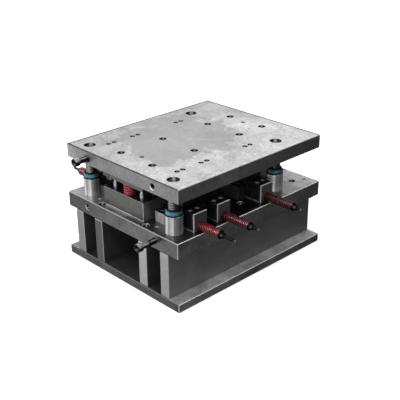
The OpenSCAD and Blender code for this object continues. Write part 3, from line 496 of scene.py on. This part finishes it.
def coil(length, d, w, h, turns, round_=0.9, seg=28):
    """Rectangular-wire spring with closed ground ends along +Z from 0, as verts and faces in mm."""
    n = int(turns * seg)
    verts, faces = [], []
    corner = [(-1, -1), (1, -1), (1, 1), (-1, 1)]
    k = 12
    for j in range(n + 1):
        t = j / seg
        a = 2 * math.pi * t
        lo0 = 0.0 if t < 0.6 else 0.3 * h * min(1.0, (t - 0.6) / 0.4)
        s = turns - t
        tall = h * min(1.0, 0.25 + t, 0.25 + s)
        if t < 1:
            lo = lo0
        elif t <= turns - 1:
            lo = 0.3 * h + (t - 1) * (length - 1.6 * h) / (turns - 2)
        else:
            lo = length - ((0.0 if s < 0.6 else 0.3 * h * (s - 0.6) / 0.4) + h * min(1.0, 0.25 + s))
        rc, zc = d / 2 - w / 2, lo + tall / 2
        rr = min(round_, tall * 0.42)
        for ci, (cx, cz) in enumerate(corner):
            for q in range(3):
                b = math.radians({0: 180, 1: 270, 2: 0, 3: 90}[ci] + 45 * q)
                x = rc + cx * (w / 2 - rr) + rr * math.cos(b)
                z = zc + cz * (tall / 2 - rr) + rr * math.sin(b)
                verts.append((x * math.cos(a), x * math.sin(a), z))
    for j in range(n):
        for i in range(k):
            p, q = j * k + i, j * k + (i + 1) % k
            faces.append((p, p + k, q + k, q))
    faces.append(tuple(range(k)))
    faces.append(tuple(reversed(range(n * k, n * k + k))))
    return verts, faces


def flipped(faces):
    return [tuple(reversed(f)) for f in faces]


# ---------------------------------------------------------------- springs
for u, sy, x, l, tail in UNITS:
    turns = round(l / 6.15) + 1
    v, f = coil(l - 0.04, 25.0, 5.2, 3.7, turns)
    pts = [((x + p[0]) * MM, sy * (218.02 + p[2]) * MM, (215 + p[1]) * MM) for p in v]
    ob = mesh_object("return_spring_" + u, pts, f if sy > 0 else flipped(f), MAT["burgundy"], 40)
    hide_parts("cam_spring_" + u)
    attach(ob, "lower_die")
    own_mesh(ob)

both_v, both_f = [], []
for x in (-244.5, 244.5):
    v, f = coil(64 - 0.04, 34.0, 7.0, 4.6, 10, 1.0, 36)
    off = len(both_v)
    both_v += [((x + p[0]) * MM, p[1] * MM, (255.02 + p[2]) * MM) for p in v]
    both_f += [tuple(i + off for i in q) for q in f]
ob = mesh_object("upright_springs", both_v, both_f, MAT["red"], 40)
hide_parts("die_springs")
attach(ob, "stripper_pad")
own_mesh(ob)


# ---------------------------------------------------------------- threaded rods, nuts and screws
def thread(r, pitch, z0, z1, n, per=6):
    """Rows of a screw thread between two heights, its ends run out to a chamfer."""
    depth = 0.61 * pitch
    a = np.arange(n) / n
    out = []
    steps = max(2, int(round((z1 - z0) / pitch * per)))
    for k in range(steps + 1):
        z = z0 + (z1 - z0) * k / steps
        tri = 1 - 2 * np.abs((z / pitch - a) % 1.0 - 0.5)
        rad = r - depth * (1 - np.clip((tri - 0.12) / 0.7, 0, 1))
        rad = np.minimum(rad, r - depth * 1.1 + min(z - z0, z1 - z) * 0.9)
        out.append((rad, z))
    return out


def joined(pieces, place):
    """Several turned surfaces as one mesh. Each piece is (rows, closed)."""
    verts, faces = [], []
    for prof, n, closed in pieces:
        v, f = turned(rows(prof, n), place, closed, len(verts))
        verts += v
        faces += f
    return verts, faces


def nut_rows(z, t, af, bore, n=72):
    """A hexagon nut with chamfered corners, standing on z."""
    h = hexagon(af, n)
    c = np.maximum(h - af * 0.49, 0.02) * 0.6
    rim = np.full(n, af * 0.475)
    return [(bore + 0.7, z), (rim, z), (h, z + c), (h, z + t - c), (rim, z + t), (bore + 0.7, z + t), (bore, z + t - 0.7), (bore, z + 0.7)]


def lit_line(m, col, tone):
    """A thin lit line along a part that lies across the die, on its upper left side."""
    n = m.parts(m.geo.outputs["Normal"])
    line = m.math("MULTIPLY", m.ramp(n[2], 0.3, 0.45), m.ramp(n[2], 0.72, 0.86, 1.0, 0.0))
    return m.mix(m.math("MULTIPLY", line, m.ramp(n[0], -0.3, -0.2, 1.0, 0.0)), col, grey(tone))


def rim_mat(name, base, edge, tip_lo, tip_hi):
    """Black oxide with a bright, rubbed end: tip_lo..tip_hi is the distance from the middle, along Y, where it wears through."""
    m = Tree(name)
    n = m.noise(140.0, 3.0, 0.6)
    yy = m.math("ABSOLUTE", m.parts(m.xyz)[1])
    tip = m.ramp(m.math("ADD", yy, m.ramp(n, 0.3, 0.7, -0.0008, 0.0008)), tip_lo, tip_hi)
    col = m.mix(m.ramp(n, 0.3, 0.7), grey(base * 0.7), grey(base * 1.3))
    col = m.mix(m.math("MULTIPLY", tip, 0.9), lit_line(m, col, 0.035), grey(edge))
    return m.finish(col, 0.2, m.ramp(n, 0.3, 0.7, 0.3, 0.45), m.bump(m.noise(900.0, 2.0), 0.1, 0.0002), Specular_IOR_Level=0.04)


MAT["rod"] = rim_mat("pull_rod_steel", 0.002, 0.3, 0.3404, 0.3412)
for u, sy, x, l, tail in UNITS:
    def out_y(p, x=x, sy=sy):
        return ((x + p[0]) * MM, sy * p[2] * MM, (215 + p[1]) * MM)

    z_thread = 218 + l - 12
    z_end = 218 + l + 16.0
    rod = [(2.4, 150.2), (3.5, 150.2), (4.0, 150.8), (4.0, z_thread - 1.0), (3.4, z_thread - 0.4)] + thread(4.0, 1.25, z_thread, z_end, 28)
    rod += [(3.7, z_end + 0.6), (3.7, tail - 1.2), (3.0, tail - 0.2), (2.5, tail)]
    v, f = joined([(rod, 28, False)], out_y)
    ob = mesh_object("pull_rod_threaded_" + u, v, f if sy < 0 else f, MAT["rod"], 35)
    if sy > 0:
        ob.data.flip_normals()
    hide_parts("pull_rod_" + u)
    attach(ob, "slide_" + u)

    w0 = 218 + l
    washer = [(4.15, w0 + 0.3), (4.45, w0), (11.6, w0), (12.0, w0 + 0.4), (12.0, w0 + 2.5), (11.5, w0 + 3.0), (4.45, w0 + 3.0), (4.15, w0 + 2.7)]
    v, f = joined([(washer, 72, True), (nut_rows(w0 + 3.05, 6.4, 13.0, 4.05), 72, True), (nut_rows(w0 + 9.5, 4.0, 13.0, 4.05), 72, True)], out_y)
    ob = mesh_object("rod_nuts_faceted_" + u, v, f, MAT["nut"], 25)
    if sy > 0:
        ob.data.flip_normals()
    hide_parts("rod_nuts_" + u)
    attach(ob, "slide_" + u)


def lifting_screw(name, node, body, x_seat, y, z, length, out, shoulder):
    """M16 socket head screw lying along -X: knurled head, hexagon socket, plain neck and thread. out is how far the neck shows."""
    n = 96
    a = np.arange(n) * 2 * math.pi / n
    knurl = 11.95 - 0.35 * (0.5 + 0.5 * np.cos(a * 32))
    hexa = hexagon(14.0, n)
    prof = [(4.5, -length), (6.4, -length)]
    prof += thread(8.0, 2.0, -length + 0.3, -out - 2.0, n, 5)
    prof += [(7.1, -out - 1.2), (8.0, -out - 0.2)]
    if shoulder:
        prof += [(8.0, -out + 0.01), (10.2, -out + 0.01), (10.5, -out + 0.4), (10.5, -out + 4.4), (10.0, -out + 5.0), (8.0, -out + 5.0)]
    prof += [(8.0, -1.2), (8.5, -0.3), (10.4, 0.0), (11.5, 0.5), (11.5, 2.0), (knurl, 2.8), (knurl, 13.6), (11.7, 14.2), (11.1, 16.0), (9.4, 16.0),
             (hexa + 0.35, 15.9), (hexa, 15.3), (hexa, 7.6), (5.6, 7.0), (0.6, 6.2)]

    def place(p):
        return ((x_seat - p[2]) * MM, (y + p[1]) * MM, (z + p[0]) * MM)

    v, f = joined([(prof, n, False)], place)
    ob = mesh_object(name, v, f, MAT["lift"], 30)
    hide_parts(node)
    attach(ob, body)
    return ob


lm = Tree("lifting_screw_steel")
ln = lm.noise(150.0, 3.0, 0.6)
lx = lm.parts(lm.xyz)[0]
nn = lm.parts(lm.geo.outputs["Normal"])
# Painted highlights on the black lifting screws: the head's rim ring and its upward faces, and a line along the top of
# the neck.
rim_highlight = lm.ramp(lm.math("ABSOLUTE", nn[0]), 0.35, 0.6)
rim_highlight = lm.math("MULTIPLY", rim_highlight, lm.ramp(lm.math("ABSOLUTE", nn[0]), 0.86, 0.95, 1.0, 0.0))
head = lm.ramp(lx, -0.3115, -0.311, 1.0, 0.0)
lcol = lm.mix(lm.ramp(ln, 0.3, 0.7), grey(0.006), grey(0.014))
head_top_highlight = lm.math("MULTIPLY", lm.ramp(nn[2], 0.15, 0.5), lm.ramp(lm.math("ABSOLUTE", nn[0]), 0.2, 0.3, 1.0, 0.0))
lcol = lm.mix(lm.math("MULTIPLY", head_top_highlight, lm.math("MULTIPLY", head, lm.ramp(ln, 0.3, 0.6, 0.35, 0.9))), lcol, grey(0.6))
neck = lm.math("MULTIPLY", lm.math("SUBTRACT", 1.0, head), lm.math("MULTIPLY", lm.ramp(nn[2], 0.55, 0.75), lm.ramp(nn[2], 0.85, 0.97, 1.0, 0.0)))
lcol = lm.mix(lm.math("MULTIPLY", neck, lm.ramp(ln, 0.3, 0.6, 0.3, 0.8)), lcol, grey(0.5))
lcol = lm.mix(lm.math("MULTIPLY", rim_highlight, lm.math("MULTIPLY", head, lm.ramp(ln, 0.3, 0.55, 0.4, 0.9))), lcol, grey(0.6))
MAT["lift"] = lm.finish(lcol, 0.6, lm.ramp(ln, 0.3, 0.7, 0.24, 0.38), lm.bump(lm.noise(900.0, 2.0), 0.1, 0.0002), Specular_IOR_Level=0.2)
for o in (lifting_screw("upper_lifting_screw_knurled", "upper_lifting_screw", "upper_die", -311.0, 136.0, 327.0, 64.0, 31.0, True),
          lifting_screw("lower_lifting_screw_knurled", "lower_lifting_screw", "lower_die", -331.0, -145.0, 178.0, 73.0, 45.0, False)):
    pass

# wiper rings: a rolled lip over a metal case, with a dark seal inside
seal = Tree("seal_black")
sn = seal.noise(200.0, 3.0, 0.6)
MAT["seal"] = seal.finish(seal.mix(sn, grey(0.008), grey(0.02)), 0.0, seal.ramp(sn, 0.3, 0.7, 0.45, 0.65), seal.bump(sn, 0.1, 0.0002), Specular_IOR_Level=0.08)
POSTS = [(-242, -174), (-242, 174), (150, -174), (150, 174)]
ring_pieces, ring_v, ring_f, seal_v, seal_f = [], [], [], [], []
for px_, py_ in POSTS:
    def at(p, px_=px_, py_=py_):
        return ((px_ + p[0]) * MM, (py_ + p[1]) * MM, p[2] * MM)

    case = [(20.5, 250.52), (24.0, 250.52), (24.3, 250.9), (24.3, 252.2), (24.0, 252.6), (23.0, 252.9), (23.0, 262.0), (22.7, 263.0), (21.8, 264.2), (21.3, 265.2), (21.0, 266.3),
            (20.4, 266.9), (19.4, 266.9), (19.0, 266.4), (19.0, 263.0), (20.5, 262.6)]
    v, f = turned(rows(case, 96), at, True, len(ring_v))
    ring_v += v
    ring_f += f
    lip = [(16.15, 250.55), (20.3, 250.55), (20.3, 262.3), (18.8, 263.2), (18.8, 265.4), (17.6, 266.2), (16.8, 265.2), (16.3, 264.0), (16.15, 262.0)]
    v, f = turned(rows(lip, 72), at, True, len(seal_v))
    seal_v += v
    seal_f += f
ring = mesh_object("wiper_ring_cases", ring_v, ring_f, MAT["teal"], 30)
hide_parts("wiper_rings")
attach(ring, "lower_die")
lips = mesh_object("wiper_ring_seals", seal_v, seal_f, MAT["seal"], 30)
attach(lips, "lower_die")

# ---------------------------------------------------------------- stage and light
bpy.ops.mesh.primitive_plane_add(size=14.0, location=(0, 0, -0.0005))
floor = bpy.context.active_object
floor.name = "floor"
fm = Tree("floor_white")
fm.finish(fm.mix(fm.ramp(fm.noise(1.2, 2.0), 0.3, 0.7), grey(0.9), grey(0.93)), 0.0, 0.8)
# seen directly the floor is pale; what bounces off it is weaker to the front right, as with a dark card laid there
fp = fm.parts(fm.xyz)
far = fm.math("SQRT", fm.math("ADD", fm.math("MULTIPLY", fp[0], fp[0]), fm.math("MULTIPLY", fp[1], fp[1])))
side_of = fm.math("DIVIDE", fm.math("ADD", fm.math("MULTIPLY", fp[0], -0.69), fm.math("MULTIPLY", fp[1], 0.72)), fm.math("MAXIMUM", far, 0.01))
card = fm.ramp(side_of, -0.7, 0.9, 0.12, 0.6)
bounce = fm.t.nodes.new("ShaderNodeBsdfDiffuse")
fm.put(bounce.inputs["Color"], combine(fm, card))
glow = fm.t.nodes.new("ShaderNodeEmission")
glow.inputs["Strength"].default_value = 0.55
seen = fm.t.nodes.new("ShaderNodeAddShader")
fm.t.links.new(fm.bsdf.outputs[0], seen.inputs[0])
fm.t.links.new(glow.outputs[0], seen.inputs[1])
pick = fm.t.nodes.new("ShaderNodeMixShader")
fm.put(pick.inputs[0], fm.t.nodes.new("ShaderNodeLightPath").outputs["Is Camera Ray"])
fm.t.links.new(bounce.outputs[0], pick.inputs[1])
fm.t.links.new(seen.outputs[0], pick.inputs[2])
fm.t.links.new(pick.outputs[0], fm.t.nodes["Material Output"].inputs["Surface"])
floor.data.materials.append(fm.mat)

world = bpy.data.worlds.new("studio")
bpy.context.scene.world = world
world.use_nodes = True
wt = world.node_tree
bg = wt.nodes["Background"]


class Sky(Tree):
    def __init__(self, tree):
        self.t = tree


sky = Sky(wt)
wd = sky.parts(wt.nodes.new("ShaderNodeTexCoord").outputs["Generated"])
lean = sky.math("ADD", sky.math("MULTIPLY", wd[0], -0.69), sky.math("MULTIPLY", wd[1], 0.72))
soft = sky.math("MULTIPLY", sky.ramp(wd[2], -0.05, 0.55, 0.5, 0.85), sky.ramp(lean, -1.0, 0.3, 0.25, 1.0))
lit = sky.mix(wt.nodes.new("ShaderNodeLightPath").outputs["Is Camera Ray"], combine(sky, soft), (1.0, 1.0, 1.0))
sky.put(bg.inputs["Color"], lit)
bg.inputs["Strength"].default_value = 1.0


def area(name, loc, aim, size, power, color=(1, 1, 1)):
    d = bpy.data.lights.new(name, "AREA")
    d.shape, d.size, d.size_y = "RECTANGLE", size[0], size[1]
    d.energy, d.color = power, color
    o = bpy.data.objects.new(name, d)
    bpy.context.scene.collection.objects.link(o)
    o.location = loc
    o.rotation_euler = (Vector(aim) - Vector(loc)).to_track_quat("-Z", "Y").to_euler()
    return o


area("key_top", (-0.6, 0.7, 2.4), (0, 0, 0.2), (1.8, 1.8), 22)
area("left_soft", (-2.6, 0.6, 0.9), (0, 0, 0.2), (1.6, 1.2), 8)
area("front_top", (0.2, -1.7, 2.3), (0, 0, 0.15), (1.4, 1.0), 14)
area("spark_front", (-1.55, -0.9, 2.4), (0, 0, 0.22), (0.35, 0.35), 8)
area("spark_left", (-2.5, -1.07, 0.95), (0, 0, 0.22), (0.1, 0.9), 3.5)
